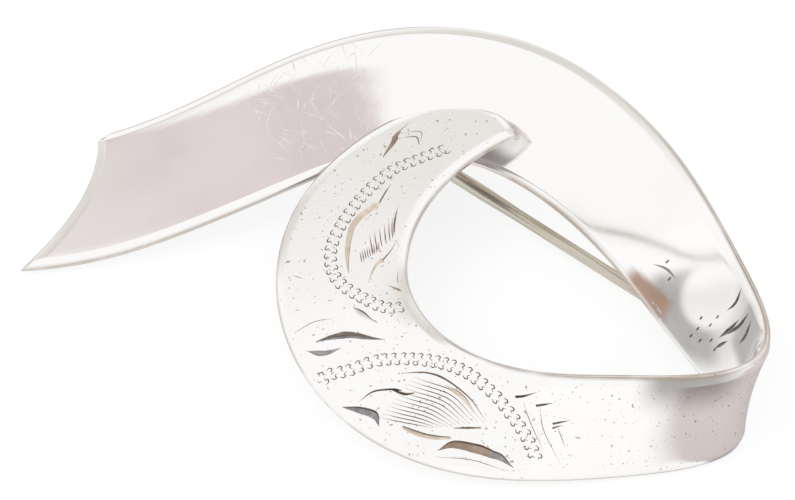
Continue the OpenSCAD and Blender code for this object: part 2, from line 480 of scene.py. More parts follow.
class Tone(Enum):
    """The look of a cut's wall, in the order of the ribbon's material slots after the skin."""

    DARK = 1
    BROWN = 2
    TAN = 3
    GREY = 4
    BRIGHT = 5


@dataclass(frozen=True)
class Stroke:
    """One engraved mark on the strip.

    The track is a few places (u, q).  Half widths are in millimetres at even steps along it.
    Lean, from -1 to 1, moves the foot of the V towards the mark's left wall, which is then the
    steep, dark one.  Depth is a share of the half width.
    """

    track: tuple[tuple[float, float], ...]
    widths: tuple[float, ...] = (0.0, 0.05, 0.05, 0.0)
    depth: float = 0.6
    lean: float = 0.0
    tone: Tone = Tone.BROWN
    steep: Tone = Tone.DARK
    face: int = -1


def smooth_track(track: Sequence[Sequence[float]], count: int) -> Array:
    """Sample a Catmull-Rom curve through a few places.

    Args:
        track: the places.
        count: how many samples.

    Returns:
        An array of count rows.
    """
    spots = np.array(track, float)
    if len(spots) == 2:
        share = np.linspace(0, 1, count)[:, None]
        return spots[0] * (1 - share) + spots[1] * share
    padded = np.vstack([2 * spots[0] - spots[1], spots, 2 * spots[-1] - spots[-2]])
    place = np.linspace(0, len(spots) - 1, count)
    span = np.minimum(place.astype(int), len(spots) - 2)
    t = (place - span)[:, None]
    a, b, c, d = (padded[span + k] for k in range(4))
    return 0.5 * (2 * b + (c - a) * t + (2 * a - 5 * b + 4 * c - d) * t**2 + (3 * b - a - 3 * c + d) * t**3)


def new_object(
    name: str,
    points: Array,
    faces: Iterable[Sequence[int]],
    slots: Sequence[int] | None = None,
    materials: Sequence[bpy.types.Material] = (),
) -> bpy.types.Object:
    """Make a mesh object at the origin, with its faces turned outwards.

    Args:
        name: the object's name.
        points: in metres.
        faces: point numbers.
        slots: each face's material slot, or None for the first.
        materials: the materials, in slot order.

    Returns:
        The linked object.
    """
    mesh = bpy.data.meshes.new(name)
    mesh.from_pydata([tuple(p) for p in points], [], [tuple(int(i) for i in f) for f in faces])
    for material in materials:
        mesh.materials.append(material)
    if slots is not None:
        mesh.polygons.foreach_set("material_index", np.array(slots, np.int32))
    work = bmesh.new()
    work.from_mesh(mesh)
    bmesh.ops.recalc_face_normals(work, faces=work.faces)
    work.to_mesh(mesh)
    work.free()
    made = bpy.data.objects.new(name, mesh)
    bpy.context.scene.collection.objects.link(made)
    return made


def evaluated(source: bpy.types.Object, name: str) -> bpy.types.Object:
    """Turn an object and its modifiers into a plain mesh object, and delete the original."""
    graph = bpy.context.evaluated_depsgraph_get()
    mesh = bpy.data.meshes.new_from_object(
        source.evaluated_get(graph), preserve_all_data_layers=True, depsgraph=graph
    )
    bpy.data.objects.remove(source)
    mesh.name = name
    made = bpy.data.objects.new(name, mesh)
    bpy.context.scene.collection.objects.link(made)
    return made


def smooth_by_angle(piece: bpy.types.Object, degrees: float) -> None:
    """Shade a piece smooth, except over edges sharper than an angle."""
    piece.data.shade_smooth()
    piece.data.set_sharp_from_angle(angle=math.radians(degrees))


# ---------------------------------------------------------------- node trees that repeat a shape


class Tree:
    """A geometry node tree with named inputs."""

    def __init__(self, name: str, inputs: dict[str, str]) -> None:
        """Make the tree.

        Args:
            name: of the tree.
            inputs: socket type by input name, after the geometry.
        """
        self.group = bpy.data.node_groups.new(name, "GeometryNodeTree")
        self.kit = NodeKit(self.group)
        face = self.group.interface
        face.new_socket("Geometry", in_out="INPUT", socket_type="NodeSocketGeometry")
        self.sockets = {
            key: face.new_socket(key, in_out="INPUT", socket_type=f"NodeSocket{kind}")
            for key, kind in inputs.items()
        }
        face.new_socket("Geometry", in_out="OUTPUT", socket_type="NodeSocketGeometry")
        self.entry = self.group.nodes.new("NodeGroupInput")

    def given(self, name: str) -> Val:
        """An input of the tree."""
        return Val(self.kit, self.entry.outputs[name])

    def close(self, instances: Val) -> None:
        """Realize the instances, set their material and end the tree."""
        real = self.kit.node("GeometryNodeRealizeInstances", {}, {"Geometry": instances})
        done = self.kit.node(
            "GeometryNodeSetMaterial", {}, {"Geometry": real, "Material": self.given("Finish")}
        )
        self.kit.node("NodeGroupOutput", {}, {"Geometry": done})

    def run(self, source: bpy.types.Object, name: str, values: dict[str, object]) -> bpy.types.Object:
        """Run the tree on an object and keep the result as a plain mesh.

        Args:
            source: the object, which is deleted.
            name: of the result.
            values: by input name.

        Returns:
            The new object.
        """
        modifier = source.modifiers.new(name, "NODES")
        modifier.node_group = self.group
        for key, value in values.items():
            modifier[self.sockets[key].identifier] = value
        return evaluated(source, name)


def row_tree() -> Tree:
    """A tree that sets one shape on every point, by its stored directions ahead and up."""
    tree = Tree("shape_on_points", {"Shape": "Object", "Size": "Float", "Finish": "Material"})
    kit = tree.kit
    shape = kit.node("GeometryNodeObjectInfo", {}, {"Object": tree.given("Shape")}, "Geometry")
    stored, vector = "GeometryNodeInputNamedAttribute", {"data_type": "FLOAT_VECTOR"}
    up = kit.node(stored, vector, {"Name": "up"}, "Attribute")
    ahead = kit.node(stored, vector, {"Name": "ahead"}, "Attribute")
    axes = {"primary_axis": "Z", "secondary_axis": "X"}
    turn = kit.node("FunctionNodeAxesToRotation", axes, {0: up, 1: ahead})
    placed = kit.node(
        "GeometryNodeInstanceOnPoints",
        {},
        {
            "Points": tree.given("Geometry"),
            "Instance": shape,
            "Rotation": turn,
            "Scale": tree.given("Size"),
        },
    )
    tree.close(placed)
    return tree


def scatter_tree() -> Tree:
    """A tree that scatters one shape over faces, evenly but at random, with its own turn and size."""
    inputs = {
        "Shape": "Object",
        "Spacing": "Float",
        "Density": "Float",
        "Smallest": "Float",
        "Largest": "Float",
        "Seed": "Int",
        "Finish": "Material",
    }
    tree = Tree("shape_scattered", inputs)
    kit = tree.kit
    shape = kit.node("GeometryNodeObjectInfo", {}, {"Object": tree.given("Shape")}, "Geometry")
    spread = kit.node(
        "GeometryNodeDistributePointsOnFaces",
        {"distribute_method": "POISSON"},
        {
            "Mesh": tree.given("Geometry"),
            "Distance Min": tree.given("Spacing"),
            "Density Max": tree.given("Density"),
            "Seed": tree.given("Seed"),
        },
        "Points",
    )
    rotation = Val(kit, spread.socket.node.outputs["Rotation"])
    size = kit.node(
        "FunctionNodeRandomValue",
        {"data_type": "FLOAT"},
        {"Min": tree.given("Smallest"), "Max": tree.given("Largest"), "Seed": tree.given("Seed")},
    )
    inputs = {"Points": spread, "Instance": shape, "Rotation": rotation, "Scale": size}
    placed = kit.node("GeometryNodeInstanceOnPoints", {}, inputs)
    tree.close(placed)
    return tree


# ---------------------------------------------------------------- engraving


@dataclass
class Graver:
    """Turns marks into closed wedges that stand in the face of the strip."""

    strip: Strip
    lift: float = 0.05
    step: float = 0.14
    thinnest: float = 0.008

    def vee(
        self, top: Array, up: Array, half: Array, depth: float, lean: float
    ) -> tuple[Array, list, list[int]]:
        """Sweep a V along a line.

        Args:
            top: the line, in the surface, in millimetres.
            up: unit normals of the surface.
            half: half widths.
            depth: as a share of the half width.
            lean: how far the foot stands to the left, from -1 to 1.

        Returns:
            Points in metres, faces, and each face's wall: 0 for left and 1 for right.
        """
        ahead = np.gradient(top, axis=0)
        side = np.cross(up, ahead)
        side /= np.linalg.norm(side, axis=1, keepdims=True)
        half = np.maximum(half, self.thinnest)[:, None]
        deep = half * depth
        flare = self.lift / deep
        left = top + side * half * (1 + flare * (1 - lean)) + up * self.lift
        right = top - side * half * (1 + flare * (1 + lean)) + up * self.lift
        foot = top - up * deep + side * half * lean
        points = np.stack([left, foot, right], 1).reshape(-1, 3) * MM
        faces: list[tuple[int, ...]] = [(0, 1, 2)]
        walls = [0]
        for base in range(0, 3 * (len(top) - 1), 3):
            for edge in range(3):
                nxt = (edge + 1) % 3
                faces.append((base + edge, base + 3 + edge, base + 3 + nxt, base + nxt))
                walls.append(0 if edge == 0 else 1)
        last = 3 * (len(top) - 1)
        faces.append((last + 2, last + 1, last))
        walls.append(0)
        return points, faces, walls

    def wedge(
        self, stroke: Stroke, name: str, materials: Sequence[bpy.types.Material]
    ) -> bpy.types.Object:
        """Build the cutter for one stroke."""
        rough = smooth_track(stroke.track, 24)
        legs = np.diff(self.strip.middle(rough[:, 0], rough[:, 1]), axis=0)
        run = float(np.linalg.norm(legs, axis=1).sum())
        count = max(6, int(run / self.step) + 1)
        way = smooth_track(stroke.track, count)
        u, q = way[:, 0], way[:, 1]
        top = self.strip.point(u, q, stroke.face * self.strip.sheet / 2)
        up = self.strip.normal(u, q) * stroke.face
        stops = np.linspace(0, 1, len(stroke.widths))
        half = np.interp(np.linspace(0, 1, count), stops, stroke.widths)
        points, faces, walls = self.vee(top, up, half, stroke.depth, stroke.lean)
        tones = (stroke.steep, stroke.tone) if stroke.lean >= 0 else (stroke.tone, stroke.steep)
        if stroke.lean == 0:
            tones = (stroke.tone, stroke.tone)
        slots = [tones[wall].value - 1 for wall in walls]
        return new_object(name, points, faces, slots, materials)

    def hook(self, name: str, outline: Sequence[Sequence[float]], half: float) -> bpy.types.Object:
        """Build a small hooked cutter on the plane z = 0, for a row of them."""
        count = 9
        way = smooth_track(outline, count)
        top = np.column_stack([way, np.zeros(count)])
        up = np.tile([0.0, 0.0, 1.0], (count, 1))
        swell = np.interp(np.linspace(0, 1, count), (0.0, 0.3, 0.8, 1.0), (0.4, 1.0, 0.8, 0.1))
        points, faces, _ = self.vee(top, up, swell * half, 1.1, 0.0)
        return new_object(name, points, faces)

    def spike(self, name: str) -> bpy.types.Object:
        """Build the cutter for a small dent, of half width 1 mm at the plane z = 0."""
        turns = np.arange(6) * math.pi / 3
        rim = [(1.5 * math.cos(a), 1.2 * math.sin(a), 0.5) for a in turns]
        points = np.array([*rim, (0.1, 0.0, -1.0)]) * MM
        faces: list[tuple[int, ...]] = [tuple(range(6))]
        faces += [(6, (k + 1) % 6, k) for k in range(6)]
        return new_object(name, points, faces)


@dataclass
class Engraving:
    """The hand-cut ornament on the crescent and the front of the strip, and its wear."""

    strip: Strip
    materials: Sequence[bpy.types.Material]
    chain_pitch: float = 0.62
    chain_gap: float = 0.24
    hook_width: float = 0.045
    pit_spacing: float = 0.25
    pit_density: float = 0.42
    pits_from: float = 12.0
    scratches: int = 80
    seed: int = 7

    def leaves(self) -> list[Stroke]:
        """The broad leaf and half-moon cuts."""
        long_leaf = (0.02, 0.12, 0.22, 0.22, 0.2, 0.17, 0.03)
        return [
            Stroke(
                ((20.1, -0.3), (20.35, -0.42), (20.5, -0.55), (20.75, -0.65)),
                (0.02, 0.14, 0.2, 0.04, 0.0), 0.7, -0.7,
            ),
            Stroke(
                ((19.5, 0.28), (19.45, 0.22), (19.1, 0.05), (18.8, 0.05), (18.3, 0.12)),
                long_leaf, 0.5, 0.75, Tone.TAN,
            ),
            Stroke(((19.85, 0.2), (19.45, 0.25)), (0.0, 0.06, 0.04), 0.6, 0.0, Tone.DARK),
            Stroke(((18.1, 0.4), (18.4, 0.52), (18.5, 0.62)), (0.02, 0.1, 0.17), 0.6, -0.6, Tone.TAN),
            Stroke(((18.5, 0.62), (18.7, 0.72), (18.95, 0.78)), (0.06, 0.03, 0.0), 0.6, 0.0, Tone.DARK),
            Stroke(
                ((17.8, 0.1), (17.65, 0.2), (17.4, 0.35)),
                (0.02, 0.14, 0.2, 0.08, 0.0), 0.5, 0.6, Tone.BRIGHT,
            ),
            Stroke(
                ((17.6, -0.6), (17.55, -0.3), (17.45, -0.05), (17.15, 0.3)),
                (0.0, 0.17, 0.26, 0.2, 0.0), 0.55, 0.3, Tone.GREY, Tone.DARK,
            ),
            Stroke(
                ((17.55, -0.75), (17.45, -0.55), (17.4, -0.3)),
                (0.02, 0.2, 0.15, 0.0), 0.7, -0.5, Tone.GREY, Tone.DARK,
            ),
            Stroke(
                ((16.95, -0.85), (16.8, -0.7), (16.65, -0.62), (16.55, -0.72)),
                (0.0, 0.22, 0.28, 0.0), 0.5, 0.6, Tone.GREY,
            ),
            Stroke(
                ((16.85, -0.62), (16.8, -0.35), (16.65, -0.15), (16.55, -0.08)),
                (0.0, 0.05, 0.07, 0.06, 0.04), 0.8, 0.0, Tone.DARK,
            ),
            Stroke(((16.65, -0.15), (16.5, -0.1), (16.4, 0.0)), (0.06, 0.1, 0.03), 0.8, 0.0, Tone.DARK),
            Stroke(
                ((16.7, 0.1), (16.4, 0.35), (16.1, 0.42), (15.75, 0.3), (15.5, 0.0)),
                (0.0, 0.05, 0.07, 0.06, 0.04, 0.0), 0.8, 0.0,
            ),
            Stroke(
                ((16.1, 0.34), (15.85, 0.28), (15.65, 0.1)),
                (0.0, 0.16, 0.14, 0.0), 0.5, 0.5, Tone.TAN, Tone.BROWN,
            ),
            Stroke(
                ((16.35, -0.55), (16.1, -0.52), (15.85, -0.42)),
                (0.1, 0.17, 0.15, 0.09), 0.8, 0.6, Tone.TAN, Tone.DARK,
            ),
            Stroke(
                ((15.95, -0.68), (15.8, -0.5), (15.55, -0.48), (15.4, -0.52)),
                (0.0, 0.26, 0.33, 0.28), 0.45, 0.45, Tone.BROWN, Tone.DARK,
            ),
            Stroke(
                ((15.42, -0.52), (15.3, -0.56), (15.15, -0.72)),
                (0.28, 0.24, 0.0), 0.45, 0.45, Tone.GREY, Tone.DARK,
            ),
            Stroke(((15.85, -0.25), (15.7, -0.18), (15.55, -0.12)), (0.02, 0.08, 0.04), 0.7, 0.4),
        ]

    def hairs(self) -> list[Stroke]:
        """The thin lines: edges of the leaves, tails of the nicks, and the veins of both fields."""
        fine = (0.0, 0.025, 0.025, 0.0)
        lines = [
            Stroke(((15.1, 0.45), (15.0, 0.1), (14.85, -0.35)), fine, 0.8),
            Stroke(((14.9, 0.4), (14.85, 0.0), (14.65, -0.6)), fine, 0.8),
            Stroke(((14.7, 0.1), (14.65, -0.1), (14.6, -0.3)), fine, 0.8),
            Stroke(
                ((15.0, 0.3), (14.9, -0.1), (14.85, -0.5)),
                (0.0, 0.02, 0.05, 0.0), 0.6, 0.0, Tone.BRIGHT,
            ),
            Stroke(((15.95, -0.78), (15.6, -0.68), (15.2, -0.78)), fine, 0.8),
            Stroke(
                ((20.5, -0.4), (20.65, -0.25), (20.6, -0.05)),
                (0.0, 0.05, 0.05, 0.02), 0.8, 0.0, Tone.GREY,
            ),
            Stroke(
                ((20.55, -0.5), (20.75, -0.3), (20.65, -0.1)),
                (0.0, 0.03, 0.03, 0.0), 0.8, 0.0, Tone.GREY,
            ),
            Stroke(((18.95, 0.78), (18.6, 0.88), (17.95, 0.82)), (0.0, 0.03, 0.05, 0.02), 0.8),
            Stroke(
                ((17.95, 0.68), (17.8, 0.8), (17.7, 0.86)),
                (0.02, 0.1, 0.03), 0.5, 0.3, Tone.TAN, Tone.BROWN,
            ),
            Stroke(((17.75, -0.95), (17.8, -0.5), (17.75, -0.2)), fine, 0.8),
            Stroke(((18.9, -0.95), (18.85, -0.78)), fine, 0.8),
            Stroke(((18.35, -0.72), (18.3, -0.55)), fine, 0.8),
        ]
        veins = 12
        for k in range(veins):
            share = k / (veins - 1)
            start = (16.5 + 0.1 * share, 0.2 - 0.8 * share)
            middle = (15.95 + 0.35 * share, 0.3 - 0.75 * share)
            end = (15.55 + 0.5 * share, 0.0 - 0.35 * share)
            lines.append(Stroke((start, middle, end), (0.0, 0.03, 0.035, 0.02, 0.0), 0.8))
        return lines

    def brush(self) -> list[Stroke]:
        """The short upright strokes that shade the upper leaf."""
        strokes = []
        columns = 9
        for k in range(columns):
            share = k / (columns - 1)
            top = (19.6 - 0.65 * share, 0.55 - 0.15 * share + 0.08 * math.sin(4 * share))
            foot = (top[0] - 0.42 + 0.1 * share, top[1] + 0.13)
            strokes.append(Stroke((top, foot), (0.0, 0.03, 0.04, 0.02), 0.8))
            low = (18.85 - 0.2 * share, 0.5 - 0.24 * share)
            strokes.append(Stroke((low, (low[0] - 0.18, low[1] + 0.05)), (0.0, 0.04, 0.02), 0.8))
        return strokes

    def nicks(self) -> list[Stroke]:
        """Three short wedges struck at the start of the front lines, and a few on the rim."""
        return [
            Stroke(((15.2, 0.52), (15.1, 0.56), (14.95, 0.66)), (0.09, 0.08, 0.0), 1.0, 0.0, Tone.DARK),
            Stroke(((14.95, 0.42), (14.85, 0.46), (14.75, 0.5)), (0.09, 0.07, 0.0), 1.0, 0.0, Tone.DARK),
            Stroke(((14.75, 0.12), (14.65, 0.16), (14.55, 0.2)), (0.08, 0.06, 0.0), 1.0, 0.0, Tone.DARK),
            Stroke(((14.75, 0.04), (14.65, 0.1)), (0.07, 0.02), 1.0, 0.0, Tone.DARK),
        ]

    def chains(self) -> tuple[tuple[tuple[float, float], ...], ...]:
        """The two curved paths that the double rows of hooks follow."""
        upper = (
            (20.9, 0.4), (20.4, 0.2), (20.0, 0.02), (19.55, -0.06), (19.15, -0.12), (18.75, -0.18),
            (18.45, -0.15), (18.2, -0.03), (17.9, 0.26), (17.55, 0.57), (17.38, 0.86),
        )
        lower = (
            (17.2, -0.85), (17.25, -0.7), (17.15, -0.4), (17.0, 0.03), (16.65, 0.4), (16.2, 0.63),
            (15.8, 0.66), (15.45, 0.47), (15.2, 0.15), (15.03, -0.17), (14.92, -0.52),
        )
        return upper, lower

    def worn(self) -> list[Stroke]:
        """Fine stray scratches on the worn patch where the crescent's edge rubs the strip."""
        chance = np.random.default_rng(self.seed)
        strokes = []
        for _ in range(self.scratches):
            u, q = 4.15 + 1.3 * chance.random(), -0.8 + 1.5 * chance.random()
            run = 0.1 + 0.22 * chance.random()
            lean = math.radians(20 + 130 * chance.random())
            end = (u + run * math.cos(lean), q + 1.1 * run * math.sin(lean))
            width = 0.018 + 0.022 * chance.random()
            widths = (0.0, width, width, 0.0)
            strokes.append(Stroke(((u, q), end), widths, 0.8, 0.0, Tone.BRIGHT, Tone.BRIGHT, 1))
        arc = ((4.35, -0.45), (4.2, -0.1), (4.3, 0.2), (4.5, 0.35))
        strokes.append(Stroke(arc, (0.0, 0.03, 0.03, 0.0), 0.8, 0.0, Tone.BRIGHT, Tone.BRIGHT, 1))
        return strokes

    def knocks(self) -> list[Stroke]:
        """Dark dents and drags inside the right turn, left by the pin's point."""
        dents = (
            (10.73, -0.22), (10.75, -0.4), (10.9, -0.14), (10.95, 0.08), (10.7, -0.6), (11.0, -0.3),
            (9.9, -0.15), (10.05, -0.3), (11.1, -0.35), (10.85, -0.5),
        )
        small = (0.03, 0.07, 0.02)
        marks = [
            Stroke(((u, q), (u + 0.02, q + 0.09)), small, 1.0, 0.0, Tone.DARK, Tone.DARK, 1)
            for u, q in dents
        ]
        drags = (
            ((11.1, -0.1), (11.22, 0.25), (11.28, 0.5)),
            ((11.2, 0.1), (11.33, 0.45), (11.38, 0.75)),
            ((11.45, 0.25), (11.5, 0.5), (11.48, 0.75)),
            ((11.1, -0.3), (11.25, 0.05)),
            ((11.05, 0.35), (11.12, 0.6), (11.1, 0.85)),
            ((9.75, -0.35), (9.95, -0.2), (10.15, -0.15)),
        )
        for k, drag in enumerate(drags):
            widths = (0.0, 0.15 - 0.015 * k, 0.11, 0.0)
            marks.append(Stroke(drag, widths, 0.7, 0.4, Tone.GREY, Tone.DARK, 1))
        return marks

    def row(
        self, graver: Graver, tree: Tree, track: tuple, offset: float, shift: float, name: str
    ) -> bpy.types.Object:
        """Set hooks along one side of a chain's path.

        Args:
            graver: makes the hook.
            tree: sets it on the points.
            track: the path.
            offset: how far to the side of the path, in millimetres.
            shift: where the first hook stands, as a share of the pitch.
            name: of the row.

        Returns:
            The cutters of the row, as one mesh.
        """
        way = smooth_track(track, 400)
        u, q = way[:, 0], way[:, 1]
        top = self.strip.point(u, q, -self.strip.sheet / 2)
        up = -self.strip.normal(u, q)
        ahead = np.gradient(top, axis=0)
        ahead /= np.linalg.norm(ahead, axis=1, keepdims=True)
        top = top + np.cross(up, ahead) * offset
        run = np.concatenate([[0], np.cumsum(np.linalg.norm(np.diff(top, axis=0), axis=1))])
        stops = np.arange(shift * self.chain_pitch, run[-1], self.chain_pitch)
        places = np.searchsorted(run, stops)
        points = bpy.data.meshes.new(name)
        points.from_pydata([tuple(p) for p in top[places] * MM], [], [])
        for key, values in (("up", up[places]), ("ahead", ahead[places])):
            store = points.attributes.new(key, "FLOAT_VECTOR", "POINT")
            store.data.foreach_set("vector", values.astype(np.float32).ravel())
        holder = bpy.data.objects.new(name, points)
        bpy.context.scene.collection.objects.link(holder)
        side = 1 if offset > 0 else -1
        outline = ((-0.26, 0.06), (-0.04, 0.17), (0.13, 0.07), (0.02, -0.06), (0.2, -0.2))
        outline = tuple((along, across * side) for along, across in outline)
        tool = graver.hook(name + "_hook", outline, self.hook_width)
        values = {"Shape": tool, "Size": 1.0, "Finish": self.materials[Tone.BROWN.value - 1]}
        made = tree.run(holder, name, values)
        bpy.data.objects.remove(tool)
        return made

    def pits(self, graver: Graver, skin: bpy.types.Object) -> bpy.types.Object:
        """Scatter small dents over the crescent and the front of the strip."""
        mesh = bmesh.new()
        mesh.from_mesh(skin.data)
        place = mesh.loops.layers.uv["strip"]
        clean = [face for face in mesh.faces if face.loops[0][place].uv.x < self.pits_from]
        bmesh.ops.delete(mesh, geom=clean, context="FACES")
        pitted = bpy.data.meshes.new("pit_ground")
        mesh.to_mesh(pitted)
        mesh.free()
        ground = bpy.data.objects.new("pit_ground", pitted)
        bpy.context.scene.collection.objects.link(ground)
        tool = graver.spike("pit_spike")
        values = {
            "Shape": tool,
            "Spacing": self.pit_spacing * MM,
            "Density": self.pit_density / MM**2,
            "Smallest": 0.02,
            "Largest": 0.055,
            "Seed": self.seed,
            "Finish": self.materials[Tone.DARK.value - 1],
        }
        made = scatter_tree().run(ground, "pits", values)
        bpy.data.objects.remove(tool)
        return made

    def cut(self, skin: bpy.types.Object) -> bpy.types.Object:
        """Cut every mark into the skin.

        Args:
            skin: the smooth strip.

        Returns:
            The engraved strip, as a plain mesh.
        """
        graver = Graver(self.strip)
        strokes = self.leaves() + self.hairs() + self.brush() + self.nicks() + self.worn() + self.knocks()
        cutters = [graver.wedge(s, f"mark_{k:03d}", self.materials) for k, s in enumerate(strokes)]
        tree = row_tree()
        for k, track in enumerate(self.chains()):
            cutters.append(self.row(graver, tree, track, self.chain_gap, 0.2, f"chain_{k}_outer"))
            cutters.append(self.row(graver, tree, track, -self.chain_gap, 0.7, f"chain_{k}_inner"))
        cutters.append(self.pits(graver, skin))
        LOG.info("engraving: %d cutters", len(cutters))
        tools = bpy.data.collections.new("gravers")
        for cutter in cutters:
            tools.objects.link(cutter)
        carve = skin.modifiers.new("carve", "BOOLEAN")
        carve.operation = "DIFFERENCE"
        carve.operand_type = "COLLECTION"
        carve.collection = tools
        carve.solver = "MANIFOLD"
        carve.material_mode = "TRANSFER"
        engraved = evaluated(skin, "engraved_ribbon")
        for cutter in cutters:
            bpy.data.objects.remove(cutter)
        bpy.data.collections.remove(tools)
        return engraved


# ---------------------------------------------------------------- the ribbon


def blend_step(value: Array, low: float, high: float) -> Array:
    """A smooth step on an array, 0 at low and 1 at high."""
    share = np.clip((value - low) / (high - low), 0, 1)
    return share * share * (3 - 2 * share)


def band(value: Array, span: Sequence[float]) -> Array:
    """A smooth hump on an array: up between the first two places and down between the last two."""
    return blend_step(value, span[0], span[1]) * (1 - blend_step(value, span[2], span[3]))


@dataclass(frozen=True)
class Wear:
    """Where the silver is satin, scuffed and tarnished, where it has a brown patch, and where painted shade
    and painted reflection tint it, by place on the strip.

    Spans are four stations: where a mark starts, is full, starts to fade and has gone.  The
    face is +1 on the flat of the upper face, -1 on the flat of the lower, and 0 at the rim.
    """

    satin_from: float = 17.2
    satin_full: float = 18.4
    scuff: tuple[float, ...] = (4.0, 4.5, 5.3, 5.75)
    brown_patch: tuple[float, ...] = (9.45, 9.65, 10.15, 10.35)
    # hollow_at, hollow_ring, low_right, under_tip and top_shade place painted shade and painted dark
    # reflection
    hollow_at: tuple[float, float] = (10.72, 0.23)
    hollow_ring: tuple[float, ...] = (0.85, 1.2, 1.7, 2.5)
    low_right: tuple[float, ...] = (11.15, 11.4, 11.7, 12.0)
    under_tip: tuple[float, ...] = (18.8, 19.4, 21.3, 21.7)
    top_shade: tuple[float, ...] = (12.3, 13.0, 13.5, 13.9)
    lower_edge: tuple[float, ...] = (6.8, 7.4, 9.9, 10.3)
    # where the painted reflection tint on the tail ends, and how it grows along the strip
    film_end: tuple[float, float] = (5.15, 5.55)
    film_growth: tuple[float, float] = (1.6, 3.4)

    def painted_shade(self, u: Array, q: Array, face: Array) -> Array:
        """Painted shade and painted dark reflection, in grey: a ring inside the right turn, under the
        crescent's tip, and below the front rim.
        """
        # painted: a dark reflection ringing a bright spot in the turn, shade in its lower right corner,
        # shade under the crescent's tip and shade below the front rim
        along, across = u - self.hollow_at[0], q - self.hollow_at[1]
        right = 1.44 * along + 0.945 * across
        down = 2.1 * along - 1.48 * across
        hollow = band(np.hypot(right, down), self.hollow_ring)
        hollow *= (1 - blend_step(-down, 0.6, 1.1)) * (1 - 0.6 * blend_step(right, -0.3, 0.5))
        corner = 0.8 * band(u, self.low_right) * blend_step(q, -0.1, 0.2)
        inside = np.maximum(0.75 * hollow, corner) * blend_step(face, 0.3, 0.9)
        painted_shade = np.maximum(inside, band(u, self.under_tip) * (face > 0))
        shade = blend_step(q, 0.1, 0.9) * band(u, self.top_shade)
        return np.maximum(painted_shade, 0.9 * shade * (face < 0))

    def rim(self, u: Array, q: Array, face: Array, corner: float) -> Array:
        """Brown tarnish along the edges of the sheet."""
        rim = 1 - blend_step(np.abs(np.abs(face) - corner), 0.02, 0.1)
        low = band(u, self.lower_edge) * (1 - blend_step(q, -0.93, -0.87))
        rim = np.maximum(rim, 0.9 * low * (face > 0))
        outline = 1 - blend_step(np.abs(face), 0.26, 0.42)
        return np.maximum(rim, outline * np.where(face < 0, 0.8, 0.5))

    def masks(self, u: Array, q: Array, face: Array, corner: float) -> dict[str, Array]:
        """All the masks that the silver reads.

        Args:
            u: stations.
            q: places across.
            face: which face, and how near the rim.
            corner: the face value at the corner of the sheet's edge.

        Returns:
            Values from 0 to 1 by the name of the mask.
        """
        up, under = blend_step(face, 0.3, 0.9), blend_step(-face, 0.3, 0.9)
        flat = blend_step(np.abs(face) + 0.15 * (q < 0), 0.86, 0.98)
        tint_top = 0.88 - 0.155 * (u - 2.4)
        tinted = flat * (1 - blend_step(q - tint_top, -0.06, 0.06))
        # painted reflection: a pinkish tint over the tail's upper face, fading out towards the arch
        film = 1 - blend_step(u + 0.25 * q, *self.film_end)
        film = film * (0.45 + 0.55 * blend_step(u, *self.film_growth)) * up * tinted
        scuff = band(u, self.scuff) * up * (1 - blend_step(q + 0.6 * (u - 5.0), 0.5, 0.9))
        # a brown patch on the upper face inside the right turn
        brown_patch = band(u, self.brown_patch) * (1 - blend_step(q + 0.3 * (9.9 - u), -0.62, -0.5)) * up
        return {
            "satin": blend_step(u, self.satin_from, self.satin_full) * under,
            "worn": scuff * tinted,
            "film": film,
            "brown_patch": brown_patch,
            "painted_shade": self.painted_shade(u, q, face),
            "rim": self.rim(u, q, face, corner),
            "speckled": blend_step(u, 11.9, 12.3) * under,
        }


